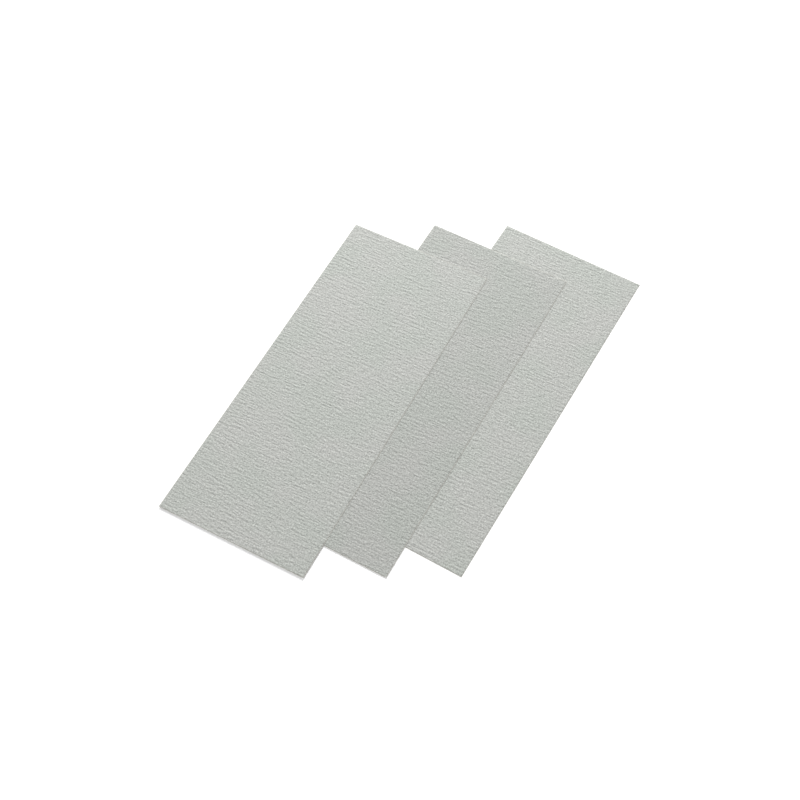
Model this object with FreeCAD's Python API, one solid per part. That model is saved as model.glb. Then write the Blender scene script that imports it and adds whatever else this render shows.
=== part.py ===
"""A set of three fine abrasive sheets, fanned out on a flat surface.

Each sheet is a third of a standard sheet of coated abrasive, cut to 93 x 228 mm, and it is a
laminate: a latex paper backing, a make coat of resin that anchors the grain, the abrasive grain,
a size coat of resin that locks the grain in, and a dry anti-clog coat on top.

The bottom sheet lies on the surface. Each further sheet lies on the one below it, moved on along
one fan direction and turned a little, as sheets are when a hand spreads them.

Frame: +Z up, +Y along the sheets, millimetres. The origin is at the middle of the fan's outline,
on the surface that the bottom sheet lies on.
"""

import FreeCAD, Part
import math
import os

Vector = FreeCAD.Vector
UP = Vector(0, 0, 1)

# Driving dimensions of one sheet.
SHEET_WIDTH = 93.0
SHEET_LENGTH = 228.0

# The laminate from the table upwards: layer name and thickness.
LAYERS = [
    ("backing_paper", 0.130),
    ("make_coat", 0.015),
    ("grain_layer", 0.035),
    ("size_coat", 0.015),
    ("anti_clog_coat", 0.055),
]

# The shears crack the brittle coats off the paper in a narrow line along each cut edge.
BARE_EDGE = 0.25

# The crinkled faces touch only at their crests, so two sheets' mean faces stay this far apart.
CREST_GAP = 0.070

# The fan: its direction from +X, how far each sheet is moved on from the next one up, and how
# much each sheet is turned against that one.
FAN_DIRECTION_DEG = 29.2
FAN_TURN_DEG = 1.3
STEP_BOTTOM_TO_MIDDLE = 43.5
STEP_MIDDLE_TO_TOP = 47.5

SHEET_THICKNESS = sum(thickness for _, thickness in LAYERS)


def fan_direction():
    """Unit vector that points from the top sheet towards the bottom one."""
    angle = math.radians(FAN_DIRECTION_DEG)
    return Vector(math.cos(angle), math.sin(angle), 0)


def sheet_places():
    """Name, centre and turn of each sheet, with the middle sheet's centre as the zero."""
    along = fan_direction()
    pitch = SHEET_THICKNESS + CREST_GAP
    return [
        ("bottom_sheet", along * STEP_BOTTOM_TO_MIDDLE, -FAN_TURN_DEG),
        ("middle_sheet", Vector(0, 0, pitch), 0.0),
        ("top_sheet", along * -STEP_MIDDLE_TO_TOP + UP * (2 * pitch), FAN_TURN_DEG),
    ]


def slab(thickness, floor, setback):
    """One flat layer of a sheet, from the height floor up, set back from the sheet's cut edges."""
    width = SHEET_WIDTH - 2 * setback
    length = SHEET_LENGTH - 2 * setback
    return Part.makeBox(width, length, thickness, Vector(-width / 2, -length / 2, floor))


def sheet_layers():
    """(layer name, solid) for each layer of one sheet, lying at the zero."""
    made = []
    floor = 0.0
    for name, thickness in LAYERS:
        setback = 0.0 if name == "backing_paper" else BARE_EDGE
        made.append((name, slab(thickness, floor, setback)))
        floor += thickness
    return made


def fan():
    """{node name: solid} for all the sheets, with the middle sheet's centre as the zero."""
    nodes = {}
    for sheet, centre, turn in sheet_places():
        place = FreeCAD.Placement(centre, FreeCAD.Rotation(UP, turn))
        for layer, solid in sheet_layers():
            solid.Placement = place.multiply(solid.Placement)
            nodes[f"{sheet}_{layer}"] = solid
    return nodes


def outline_middle(shapes):
    """The middle of the fan's outline, seen from above."""
    box = Part.makeCompound(shapes).BoundBox
    return Vector(box.Center.x, box.Center.y, 0)


def main():
    os.makedirs("parts", exist_ok=True)
    nodes = fan()
    middle = outline_middle(list(nodes.values()))
    for name, solid in nodes.items():
        solid.translate(-middle)
        solid.exportStep(f"parts/{name}.step")

    slide = -fan_direction()
    print(f"outline middle {middle.x:.4f} {middle.y:.4f}")
    print(f"slide axis {slide.x:.6f} {slide.y:.6f}")
    for sheet, centre, turn in sheet_places():
        at = centre - middle
        print(f"{sheet}: centre {at.x:.4f} {at.y:.4f}, underside {at.z:.4f}, turned {turn:.1f} degrees")
    print(f"top face at {2 * (SHEET_THICKNESS + CREST_GAP) + SHEET_THICKNESS:.4f}")


main()
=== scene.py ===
"""The looks of a fanned set of fine abrasive sheets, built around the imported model.

Each sheet is a laminate. Its backing paper and its anti-clog coat are replaced here by crinkled
pieces, because the paper of such a sheet dries into fine ripples that run across it. The make coat,
the grain layer and the size coat keep their CAD shapes, and show only at the cut edges, where all
the coats stop a little short of the paper's cut and the brittle anti-clog coat has flaked back more.

All lengths are in metres, in the row frame.
"""

import math

import bpy
import numpy as np
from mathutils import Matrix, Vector


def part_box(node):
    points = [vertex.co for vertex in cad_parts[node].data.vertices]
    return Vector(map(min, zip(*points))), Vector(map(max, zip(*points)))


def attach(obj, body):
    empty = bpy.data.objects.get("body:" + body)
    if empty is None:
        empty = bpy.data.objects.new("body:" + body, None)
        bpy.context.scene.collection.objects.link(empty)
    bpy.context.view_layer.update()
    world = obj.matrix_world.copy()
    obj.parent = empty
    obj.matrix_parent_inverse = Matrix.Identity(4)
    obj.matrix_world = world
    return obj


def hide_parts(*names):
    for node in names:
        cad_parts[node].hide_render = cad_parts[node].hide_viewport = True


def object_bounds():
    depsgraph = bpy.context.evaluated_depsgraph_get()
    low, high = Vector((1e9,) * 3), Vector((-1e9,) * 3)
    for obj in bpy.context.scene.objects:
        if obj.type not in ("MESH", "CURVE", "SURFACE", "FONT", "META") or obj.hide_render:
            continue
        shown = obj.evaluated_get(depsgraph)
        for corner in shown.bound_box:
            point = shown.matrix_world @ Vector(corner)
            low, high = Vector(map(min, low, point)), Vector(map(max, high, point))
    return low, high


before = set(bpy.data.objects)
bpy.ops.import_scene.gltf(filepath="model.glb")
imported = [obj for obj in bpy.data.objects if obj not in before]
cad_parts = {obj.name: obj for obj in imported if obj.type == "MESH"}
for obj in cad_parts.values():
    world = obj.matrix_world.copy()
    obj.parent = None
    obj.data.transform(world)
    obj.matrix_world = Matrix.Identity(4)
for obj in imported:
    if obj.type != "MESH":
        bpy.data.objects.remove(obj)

CAD_LOW, CAD_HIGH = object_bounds()

MM = 0.001

# What lies under each sheet, from the bottom up, and how pale its coat is beside the others'.
SHEETS = [
    {"name": "bottom_sheet", "under": "floor", "seed": 11, "tone": 1.01},
    {"name": "middle_sheet", "under": "bottom_sheet_abrasive_face", "seed": 23, "tone": 0.94},
    {"name": "top_sheet", "under": "middle_sheet_abrasive_face", "seed": 37, "tone": 1.0},
]

# The ripples: fine waves whose crests run across the sheet. Frequencies are in waves per metre.
RIPPLE_WAVES = 260
RIPPLE_ALONG = 400.0
RIPPLE_ALONG_SPREAD = 105.0
RIPPLE_ACROSS_SPREAD = 50.0

# The pebbling between the ripples, the same in every direction.
PEBBLE_WAVES = 160
PEBBLE_FREQUENCY = 620.0
PEBBLE_FREQUENCY_SPREAD = 150.0
PEBBLE_SHARE = 0.62

# Calm and lively patches of ripple.
PATCH_WAVES = 24
PATCH_FREQUENCY = 45.0
PATCH_FREQUENCY_SPREAD = 15.0
PATCH_DEPTH = 0.36

# How far the ripples rise and fall about the mean face, at most and as a standard deviation.
FACE_RELIEF_LIMIT = 0.050 * MM
FACE_RELIEF_SPREAD = 0.042 * MM
BACK_RELIEF_LIMIT = 0.025 * MM
BACK_RELIEF_SPREAD = 0.012 * MM

# The meshes of the face and of the back: cells across and along the sheet.
FACE_CELLS = (150, 618)
BACK_CELLS = (96, 380)

# The cut edges. The coat has flaked back from the cut by about this much, and is thinner there.
FLAKE_MEAN = 0.07 * MM
FLAKE_SPREAD = 0.05 * MM
FLAKE_LEAST = 0.01 * MM
FLAKE_MOST = 0.25 * MM
FLAKE_WAVES = 60
FLAKE_FREQUENCY = 420.0
FLAKE_FREQUENCY_SPREAD = 210.0
RIM_STEP = 0.45 * MM
RIM_HEIGHT_KEPT = 0.2

# Camera: where it looks, from which side and height, and how far off.
CAMERA_TARGET = Vector((-0.29 * MM, -10.42 * MM, 0.0))
CAMERA_AZIMUTH_DEG = 29.124
CAMERA_ELEVATION_DEG = 58.213
CAMERA_DISTANCE = 0.76871
CAMERA_LENS_MM = 59.03
CAMERA_SENSOR_MM = 36.0
CAMERA_CLIP_START = 0.01


def sheet_place(node):
    """Centre, direction across, direction along, width and length of a sheet, from its CAD node."""
    points = np.array([v.co[:2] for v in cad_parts[node].data.vertices], float)
    centre = (points.min(axis=0) + points.max(axis=0)) / 2
    spans, directions = np.linalg.eigh(np.cov((points - centre).T))
    along = directions[:, spans.argmax()]
    along = along * np.sign(along[1])
    across = np.array([along[1], -along[0]])
    width = 2 * np.abs((points - centre) @ across).max()
    length = 2 * np.abs((points - centre) @ along).max()
    return centre, across, along, width, length


def ripple_waves(rng):
    """Plane waves that run along the sheet, as (frequency across, frequency along, phase)."""
    across = rng.normal(0.0, RIPPLE_ACROSS_SPREAD, RIPPLE_WAVES)
    along = rng.normal(RIPPLE_ALONG, RIPPLE_ALONG_SPREAD, RIPPLE_WAVES)
    phase = rng.uniform(0.0, 2 * math.pi, RIPPLE_WAVES)
    return np.stack([across, along, phase], axis=1)


def ring_waves(rng, count, frequency, spread):
    """Plane waves that run in every direction, as (frequency across, frequency along, phase)."""
    turn = rng.uniform(0.0, math.pi, count)
    size = rng.normal(frequency, spread, count)
    phase = rng.uniform(0.0, 2 * math.pi, count)
    return np.stack([size * np.cos(turn), size * np.sin(turn), phase], axis=1)


def sum_of_waves(waves, u, v):
    """The waves added up at the points (u, v), with a standard deviation of about one."""
    total = np.zeros_like(u)
    for across, along, phase in waves:
        total += np.cos(2 * math.pi * (across * u + along * v) + phase)
    return total * math.sqrt(2 / len(waves))


def crinkle(seed):
    """A function of (u, v) on one sheet that gives the crinkle, with a standard deviation of about one."""
    rng = np.random.default_rng(seed)
    ripples = ripple_waves(rng)
    pebbles = ring_waves(rng, PEBBLE_WAVES, PEBBLE_FREQUENCY, PEBBLE_FREQUENCY_SPREAD)
    patches = ring_waves(rng, PATCH_WAVES, PATCH_FREQUENCY, PATCH_FREQUENCY_SPREAD)

    def height(u, v):
        liveliness = 1 + PATCH_DEPTH * sum_of_waves(patches, u, v)
        mixed = sum_of_waves(ripples, u, v) + PEBBLE_SHARE * sum_of_waves(pebbles, u, v)
        return liveliness * mixed / math.hypot(1, PEBBLE_SHARE)

    return height


def limited(values, spread, limit):
    """Values with that standard deviation, eased so that none passes the limit."""
    return limit * np.tanh(values * spread / limit)


def grid(width, length, cells, rim_step):
    """(u, v) of a sheet's grid points, with a narrow row of cells round the edge."""
    def line(size, count):
        inner = np.linspace(-size / 2 + rim_step, size / 2 - rim_step, count - 1)
        return np.concatenate([[-size / 2], inner, [size / 2]])

    return np.meshgrid(line(width, cells[0]), line(length, cells[1]))


def ring(rows, columns):
    """Indices of a grid's border points, once round, anticlockwise from the first."""
    index = np.arange(rows * columns).reshape(rows, columns)
    return np.concatenate([index[0, :-1], index[:-1, -1], index[-1, :0:-1], index[:0:-1, 0]])


def plate(name, points, flat_z, flat_border):
    """A closed plate: a grid of points on its shaped side, and a flat other side at flat_z.

    points is rows x columns x 3. flat_border is the outline of the flat side, as (x, y) for each
    border point in ring order.
    """
    rows, columns = points.shape[:2]
    index = np.arange(rows * columns).reshape(rows, columns)
    quads = np.stack(
        [index[:-1, :-1], index[:-1, 1:], index[1:, 1:], index[1:, :-1]], axis=-1
    ).reshape(-1, 4)
    border = ring(rows, columns)
    first = rows * columns
    other = first + np.arange(len(border))
    walls = np.stack([np.roll(border, -1), border, other, np.roll(other, -1)], axis=1)
    shaped_is_top = points[..., 2].mean() > flat_z
    if not shaped_is_top:
        quads = quads[:, ::-1]
        walls = walls[:, ::-1]
    cap = other[::-1] if shaped_is_top else other
    flat = np.column_stack([flat_border, np.full(len(border), flat_z)])
    mesh = bpy.data.meshes.new(name)
    mesh.from_pydata(
        np.concatenate([points.reshape(-1, 3), flat]).tolist(),
        [],
        quads.tolist() + walls.tolist() + [cap.tolist()],
    )
    smooth = np.zeros(len(mesh.polygons), bool)
    smooth[: len(quads)] = True
    mesh.polygons.foreach_set("use_smooth", smooth)
    on_border = np.zeros(len(mesh.vertices), bool)
    on_border[border] = True
    ends = np.empty(2 * len(mesh.edges), np.int32)
    mesh.edges.foreach_get("vertices", ends)
    mesh.edges.foreach_set("use_edge_sharp", on_border[ends.reshape(-1, 2)].all(axis=1))
    mesh.validate()
    mesh.update()
    piece = bpy.data.objects.new(name, mesh)
    bpy.context.scene.collection.objects.link(piece)
    return piece


def paint_points(piece, name, values, rest):
    """Stores one number for each grid point on the mesh, and rest for the points of its flat side."""
    attribute = piece.data.attributes.new(name, "FLOAT", "POINT")
    padded = np.full(len(piece.data.vertices), rest, np.float32)
    padded[: values.size] = values.ravel()
    attribute.data.foreach_set("value", padded)


def placed(u, v, z, place):
    """Points in the row frame from a sheet's own (u, v) and heights."""
    centre, across, along = place[:3]
    flat = centre + u[..., None] * across + v[..., None] * along
    return np.concatenate([flat, z[..., None]], axis=-1)


def flaked(u, v, rng):
    """Moves a grid's border points in from the cut, unevenly, as a brittle coat flakes."""
    waves = ring_waves(rng, FLAKE_WAVES, FLAKE_FREQUENCY, FLAKE_FREQUENCY_SPREAD)
    inset = FLAKE_MEAN + FLAKE_SPREAD * sum_of_waves(waves, u, v)
    inset = inset.clip(FLAKE_LEAST, FLAKE_MOST)
    u, v = u.copy(), v.copy()
    u[:, 0] += inset[:, 0]
    u[:, -1] -= inset[:, -1]
    v[0, :] += inset[0, :]
    v[-1, :] -= inset[-1, :]
    return u, v


def abrasive_face(sheet):
    """The anti-clog coat: a rippled top on the flat top of the size coat, flaked back at the cuts."""
    node = f"{sheet['name']}_anti_clog_coat"
    place = sheet_place(node)
    low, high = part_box(node)
    height = crinkle(sheet["seed"])
    u, v = grid(place[3], place[4], FACE_CELLS, RIM_STEP)
    u, v = flaked(u, v, np.random.default_rng(sheet["seed"] + 1))
    relief = limited(height(u, v), FACE_RELIEF_SPREAD, FACE_RELIEF_LIMIT)
    z = high.z + relief
    border = ring(*u.shape)
    rim = z.ravel()[border]
    z.ravel()[border] = low.z + RIM_HEIGHT_KEPT * (rim - low.z)
    points = placed(u, v, z, place)
    piece = plate(f"{sheet['name']}_abrasive_face", points, low.z, points.reshape(-1, 3)[border, :2])
    paint_points(piece, "crinkle", relief / FACE_RELIEF_LIMIT, 0.0)
    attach(piece, sheet["name"])
    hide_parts(node)
    piece.data.materials.append(coat_material(sheet))
    return piece


def paper(sheet):
    """The backing paper: a flat top under the make coat, and an underside that follows the ripples."""
    node = f"{sheet['name']}_backing_paper"
    place = sheet_place(node)
    low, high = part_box(node)
    height = crinkle(sheet["seed"])
    u, v = grid(place[3], place[4], BACK_CELLS, RIM_STEP)
    relief = limited(height(u, v), BACK_RELIEF_SPREAD, BACK_RELIEF_LIMIT)
    z = low.z + BACK_RELIEF_LIMIT + relief
    points = placed(u, v, z, place)
    border = ring(*u.shape)
    piece = plate(f"{sheet['name']}_paper", points, high.z, points.reshape(-1, 3)[border, :2])
    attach(piece, sheet["name"])
    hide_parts(node)
    piece.data.materials.append(paper_material())
    return piece


class Nodes:
    """A material's node tree, with short calls for the nodes used here."""

    def __init__(self, name):
        self.material = bpy.data.materials.new(name)
        self.material.use_nodes = True
        self.tree = self.material.node_tree
        self.shader = self.tree.nodes["Principled BSDF"]
        self.place = self.tree.nodes.new("ShaderNodeTexCoord").outputs["Object"]

    def link(self, source, socket):
        """Feeds a socket from an output, or sets it to a plain value."""
        if isinstance(source, bpy.types.NodeSocket):
            self.tree.links.new(source, socket)
        else:
            socket.default_value = source

    def noise(self, size, detail=2.0, stretch=(1.0, 1.0, 1.0), shift=0.0):
        """Noise across a flat plate, whose features are about size metres across."""
        mapping = self.tree.nodes.new("ShaderNodeMapping")
        mapping.inputs["Scale"].default_value = stretch
        mapping.inputs["Location"].default_value = (shift, shift, shift)
        self.tree.links.new(self.place, mapping.inputs["Vector"])
        noise = self.tree.nodes.new("ShaderNodeTexNoise")
        noise.noise_dimensions = "2D"
        noise.inputs["Scale"].default_value = 1 / size
        noise.inputs["Detail"].default_value = detail
        self.tree.links.new(mapping.outputs["Vector"], noise.inputs["Vector"])
        return noise.outputs["Fac"]

    def cells(self, size):
        """A random number for each cell, of cells about size metres across."""
        voronoi = self.tree.nodes.new("ShaderNodeTexVoronoi")
        voronoi.inputs["Scale"].default_value = 1 / size
        self.tree.links.new(self.place, voronoi.inputs["Vector"])
        split = self.tree.nodes.new("ShaderNodeSeparateColor")
        self.tree.links.new(voronoi.outputs["Color"], split.inputs["Color"])
        return split.outputs["Red"]

    def attribute(self, name):
        """A number stored on the mesh."""
        node = self.tree.nodes.new("ShaderNodeAttribute")
        node.attribute_name = name
        return node.outputs["Fac"]

    def ranged(self, source, band, wanted):
        """source over its band becomes a value over the wanted range, and never leaves that range."""
        node = self.tree.nodes.new("ShaderNodeMapRange")
        node.clamp = True
        self.link(source, node.inputs["Value"])
        node.inputs["From Min"].default_value, node.inputs["From Max"].default_value = band
        node.inputs["To Min"].default_value, node.inputs["To Max"].default_value = wanted
        return node.outputs["Result"]

    def mixed(self, share, first, second, mode="MIX"):
        """Colour second over colour first, as far as share says."""
        node = self.tree.nodes.new("ShaderNodeMix")
        node.data_type = "RGBA"
        node.blend_type = mode
        self.link(share, node.inputs["Factor"])
        self.link(first, node.inputs["A"])
        self.link(second, node.inputs["B"])
        return node.outputs["Result"]

    def grey(self, value):
        """A number as a grey colour."""
        node = self.tree.nodes.new("ShaderNodeCombineColor")
        for socket in node.inputs:
            self.link(value, socket)
        return node.outputs["Color"]

    def bump(self, height, depth, below=None):
        """Shading relief of a 0 to 1 height that is depth metres deep."""
        node = self.tree.nodes.new("ShaderNodeBump")
        node.inputs["Distance"].default_value = depth
        self.link(height, node.inputs["Height"])
        if below is not None:
            self.link(below, node.inputs["Normal"])
        return node.outputs["Normal"]

    def set(self, **sockets):
        """Sets or links the shader's own sockets, with _ for a space in their names."""
        for name, value in sockets.items():
            self.link(value, self.shader.inputs[name.replace("_", " ")])
        return self.material


def tint(colour, factor=1.0):
    """A colour as four numbers, made lighter or darker."""
    return tuple(factor * part for part in colour) + (1.0,)


# Nearly all of a noise's values lie in this band.
NOISE_BAND = (0.3, 0.7)

# The coat: sizes of its patterns, and the depths of its shading relief.
MOTTLE_SIZE = 32 * MM
MOTTLE_BAND = (0.36, 0.64)
POWDER_SIZE = 0.9 * MM
POWDER_BAND = (0.25, 0.75)
POWDER_SHADES = (0.72, 1.28)
# Painted shade in the ripples' troughs and painted highlight on their crests, as colour factors from the
# lowest to the highest crinkle.
PAINTED_HOLLOW_SHADE_RANGE = (0.97, 1.03)
GRIT_SIZE = 0.16 * MM
GRIT_COMMONNESS = 0.20
GRIT_STRENGTH = 0.45
RIPPLE_SIZE = 1.3 * MM
RIPPLE_STRETCH = (0.30, 1.0, 1.0)
RIPPLE_DEPTH = 0.440 * MM
PEBBLE_SIZE = 0.7 * MM
PEBBLE_DEPTH = 0.190 * MM
GRAIN_SIZE = 0.22 * MM
GRAIN_DEPTH = 0.015 * MM
DUST_SIZE = 0.07 * MM
DUST_DEPTH = 0.004 * MM
COAT_ROUGHNESS = (0.82, 0.94)
COAT_ROUGHNESS_SIZE = 4 * MM
COAT_GLOSS = 0.22

# The backing paper: fibres along the sheet, and a cloudiness.
FIBRE_SIZE = 0.5 * MM
FIBRE_STRETCH = (1.0, 0.22, 1.0)
FIBRE_DEPTH = 0.010 * MM
PAPER_CLOUD_SIZE = 9 * MM
PAPER_CLOUD_SHADES = (0.95, 1.03)
PAPER_ROUGHNESS = (0.62, 0.78)

# The layers between: streaks in the make coat, which give it bumps and carry a painted shadow of the grain,
# grains bare and grains under the size coat.
STREAK_SIZE = 0.4 * MM
STREAK_DEPTH = 0.006 * MM
RESIN_ROUGHNESS = (0.30, 0.50)
BARE_GRAIN_SIZE = 0.035 * MM
BARE_GRAIN_DEPTH = 0.010 * MM
BARE_GRAIN_ROUGHNESS = (0.30, 0.60)
COATED_GRAIN_SIZE = 0.050 * MM
COATED_GRAIN_DEPTH = 0.012 * MM
SIZE_CLOUD_SIZE = 0.8 * MM
SIZE_CLOUD_SHADES = (0.85, 1.10)
SIZE_ROUGHNESS = (0.45, 0.65)

# Where one sheet's patterns start beside the next one's, for each step of its seed.
PATTERN_SHIFT = 0.1

# Colours are linear.
COAT_GREY = (0.398, 0.4040, 0.3845)
COAT_GREEN = (0.383, 0.3990, 0.3730)
COAT_GRIT = (0.217, 0.229, 0.214)
PAPER_CREAM = (0.530, 0.517, 0.475)
PAPER_SHADE = (0.470, 0.458, 0.415)
RESIN_AMBER = (0.200, 0.170, 0.110)
# A painted shadow of the grain on the make coat's amber resin.
RESIN_GRAIN_SHADOW = (0.140, 0.120, 0.085)
GRAIN_PALE = (0.200, 0.210, 0.195)
GRAIN_DARK = (0.070, 0.075, 0.070)
SIZE_PALE = (0.230, 0.235, 0.215)
SIZE_DARK = (0.130, 0.135, 0.120)


def coat_material(sheet):
    """The dry, dusty coat: faint sage mottling, grit that shows through, ripples, a powdery grain, and
    painted shade in the ripples' troughs with painted highlight on their crests.
    """
    nodes = Nodes(f"{sheet['name']}_coat")
    shift = sheet["seed"] * PATTERN_SHIFT
    tone = sheet["tone"]
    mottle = nodes.ranged(nodes.noise(MOTTLE_SIZE, 1.5, shift=shift), MOTTLE_BAND, (0.0, 1.0))
    colour = nodes.mixed(mottle, tint(COAT_GREY, tone), tint(COAT_GREEN, tone))
    powder = nodes.ranged(nodes.noise(POWDER_SIZE, 3.0, shift=shift), POWDER_BAND, POWDER_SHADES)
    colour = nodes.mixed(1.0, colour, nodes.grey(powder), "MULTIPLY")
    # Painted shade and highlight: the colour darkens in the ripples' troughs and lightens on their crests,
    # following the stored crinkle height.
    painted_hollow_shade = nodes.ranged(nodes.attribute("crinkle"), (-1.0, 1.0), PAINTED_HOLLOW_SHADE_RANGE)
    colour = nodes.mixed(1.0, colour, nodes.grey(painted_hollow_shade), "MULTIPLY")
    grit = nodes.ranged(nodes.cells(GRIT_SIZE), (1 - GRIT_COMMONNESS, 1.0), (0.0, GRIT_STRENGTH))
    colour = nodes.mixed(grit, colour, tint(COAT_GRIT, tone))
    ripple = nodes.bump(nodes.noise(RIPPLE_SIZE, 1.0, RIPPLE_STRETCH, shift), RIPPLE_DEPTH)
    pebble = nodes.bump(nodes.noise(PEBBLE_SIZE, 2.0, shift=shift), PEBBLE_DEPTH, ripple)
    grain = nodes.bump(nodes.noise(GRAIN_SIZE, 2.0, shift=shift), GRAIN_DEPTH, pebble)
    dust = nodes.bump(nodes.noise(DUST_SIZE, 1.0), DUST_DEPTH, grain)
    cloud = nodes.noise(COAT_ROUGHNESS_SIZE, 2.0, shift=shift)
    rough = nodes.ranged(cloud, NOISE_BAND, COAT_ROUGHNESS)
    return nodes.set(Base_Color=colour, Roughness=rough, Normal=dust, Specular_IOR_Level=COAT_GLOSS)


def paper_material():
    """Latex-saturated paper: cream, with faint fibres along the sheet and a dull sheen."""
    nodes = Nodes("backing_paper")
    fibres = nodes.noise(FIBRE_SIZE, 3.0, FIBRE_STRETCH)
    cloud = nodes.noise(PAPER_CLOUD_SIZE, 2.0)
    colour = nodes.mixed(nodes.ranged(fibres, NOISE_BAND, (0.0, 1.0)), tint(PAPER_CREAM), tint(PAPER_SHADE))
    clouded = nodes.grey(nodes.ranged(cloud, NOISE_BAND, PAPER_CLOUD_SHADES))
    colour = nodes.mixed(1.0, colour, clouded, "MULTIPLY")
    rough = nodes.ranged(cloud, NOISE_BAND, PAPER_ROUGHNESS)
    return nodes.set(Base_Color=colour, Roughness=rough, Normal=nodes.bump(fibres, FIBRE_DEPTH))


def resin_material():
    """The make coat: amber resin, glossier than the rest, with the grain's shadow in it."""
    nodes = Nodes("make_coat")
    streak = nodes.noise(STREAK_SIZE, 2.0)
    # Painted shadow: the darker resin colour stands for the grain's shadow, laid along the streaks.
    colour = nodes.mixed(nodes.ranged(streak, NOISE_BAND, (0.0, 1.0)), tint(RESIN_AMBER), tint(RESIN_GRAIN_SHADOW))
    rough = nodes.ranged(nodes.noise(3 * STREAK_SIZE), NOISE_BAND, RESIN_ROUGHNESS)
    return nodes.set(Base_Color=colour, Roughness=rough, Normal=nodes.bump(streak, STREAK_DEPTH))


def grain_material():
    """The abrasive grain: crowded dark cells of many greys."""
    nodes = Nodes("grain_layer")
    cells = nodes.cells(BARE_GRAIN_SIZE)
    colour = nodes.mixed(cells, tint(GRAIN_DARK), tint(GRAIN_PALE))
    rough = nodes.ranged(cells, (0.0, 1.0), BARE_GRAIN_ROUGHNESS)
    return nodes.set(Base_Color=colour, Roughness=rough, Normal=nodes.bump(cells, BARE_GRAIN_DEPTH))


def size_material():
    """The size coat: thin resin over the grain, so the grain's bumps and greys show through."""
    nodes = Nodes("size_coat")
    cells = nodes.cells(COATED_GRAIN_SIZE)
    cloud = nodes.noise(SIZE_CLOUD_SIZE, 2.0)
    colour = nodes.mixed(cells, tint(SIZE_DARK), tint(SIZE_PALE))
    clouded = nodes.grey(nodes.ranged(cloud, NOISE_BAND, SIZE_CLOUD_SHADES))
    colour = nodes.mixed(1.0, colour, clouded, "MULTIPLY")
    rough = nodes.ranged(cloud, NOISE_BAND, SIZE_ROUGHNESS)
    return nodes.set(Base_Color=colour, Roughness=rough, Normal=nodes.bump(cells, COATED_GRAIN_DEPTH))


def build_sheets():
    """All the pieces of all the sheets. The CAD layers between paper and coat get their materials."""
    inner = {"make_coat": resin_material(), "grain_layer": grain_material(), "size_coat": size_material()}
    for sheet in SHEETS:
        for layer, material in inner.items():
            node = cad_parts[f"{sheet['name']}_{layer}"]
            node.data.materials.clear()
            node.data.materials.append(material)
        face = abrasive_face(sheet)
        back = paper(sheet)
        width, length = sheet_place(f"{sheet['name']}_backing_paper")[3:]


# The studio.
FLOOR_RADIUS = 0.62
FLOOR_CORNERS = 128
FLOOR_COLOUR = (0.95, 0.95, 0.95)
FLOOR_CLOUD_SIZE = 0.1
FLOOR_SHADES = (0.99, 1.0)
FLOOR_ROUGHNESS = 0.9
FLOOR_GLOSS = 0.1
FILL_STRENGTH = 0.365
BACKDROP_STRENGTH = 1.0
KEY_PLACE = Vector((-0.50, 1.01, 0.59))
KEY_SIZE = 0.7
KEY_POWER = 25.5
FRONT_PLACE = Vector((-0.10, -0.80, 1.60))
FRONT_SIZE = 0.9
FRONT_POWER = 13.5


def floor():
    """A plain white round floor under the sheets, with a faint cloudiness."""
    bpy.ops.mesh.primitive_circle_add(vertices=FLOOR_CORNERS, radius=FLOOR_RADIUS, fill_type="NGON")
    made = bpy.context.object
    made.name = "floor"
    made.location.z = CAD_LOW.z
    nodes = Nodes("floor")
    shade = nodes.ranged(nodes.noise(FLOOR_CLOUD_SIZE), NOISE_BAND, FLOOR_SHADES)
    colour = nodes.mixed(1.0, tint(FLOOR_COLOUR), nodes.grey(shade), "MULTIPLY")
    made.data.materials.append(
        nodes.set(Base_Color=colour, Roughness=FLOOR_ROUGHNESS, Specular_IOR_Level=FLOOR_GLOSS)
    )


def fill_light():
    """An even fill from all round. The camera sees a paler backdrop than the fill itself."""
    world = bpy.data.worlds.new("studio")
    bpy.context.scene.world = world
    world.use_nodes = True
    tree = world.node_tree
    background = tree.nodes["Background"]
    background.inputs["Color"].default_value = (1.0, 1.0, 1.0, 1.0)
    strength = tree.nodes.new("ShaderNodeMapRange")
    strength.inputs["To Min"].default_value = FILL_STRENGTH
    strength.inputs["To Max"].default_value = BACKDROP_STRENGTH
    path = tree.nodes.new("ShaderNodeLightPath")
    tree.links.new(path.outputs["Is Camera Ray"], strength.inputs["Value"])
    tree.links.new(strength.outputs["Result"], background.inputs["Strength"])


def soft_box(name, place, size, power):
    """A square soft box that faces the sheets."""
    data = bpy.data.lights.new(name, "AREA")
    data.shape = "SQUARE"
    data.size = size
    data.energy = power
    lamp = bpy.data.objects.new(name, data)
    lamp.location = place
    lamp.rotation_mode = "QUATERNION"
    lamp.rotation_quaternion = (-place).to_track_quat("-Z", "Y")
    bpy.context.scene.collection.objects.link(lamp)


def lights():
    """A key behind the sheets that rakes across the ripples, and a weak front light for the shadows."""
    soft_box("key", KEY_PLACE, KEY_SIZE, KEY_POWER)
    soft_box("front", FRONT_PLACE, FRONT_SIZE, FRONT_POWER)


def camera():
    """The camera, above the near end of the sheets and to their right."""
    azimuth = math.radians(CAMERA_AZIMUTH_DEG)
    elevation = math.radians(CAMERA_ELEVATION_DEG)
    back = Vector(
        (
            math.sin(azimuth) * math.cos(elevation),
            -math.cos(azimuth) * math.cos(elevation),
            math.sin(elevation),
        )
    )
    data = bpy.data.cameras.new("camera")
    data.lens = CAMERA_LENS_MM
    data.sensor_width = CAMERA_SENSOR_MM
    data.clip_start = CAMERA_CLIP_START
    made = bpy.data.objects.new("camera", data)
    made.location = CAMERA_TARGET + back * CAMERA_DISTANCE
    made.rotation_mode = "QUATERNION"
    made.rotation_quaternion = (-back).to_track_quat("-Z", "Y")
    bpy.context.scene.collection.objects.link(made)
    bpy.context.scene.camera = made


bpy.context.scene.view_settings.view_transform = "Standard"
build_sheets()
floor()
fill_light()
lights()
camera()
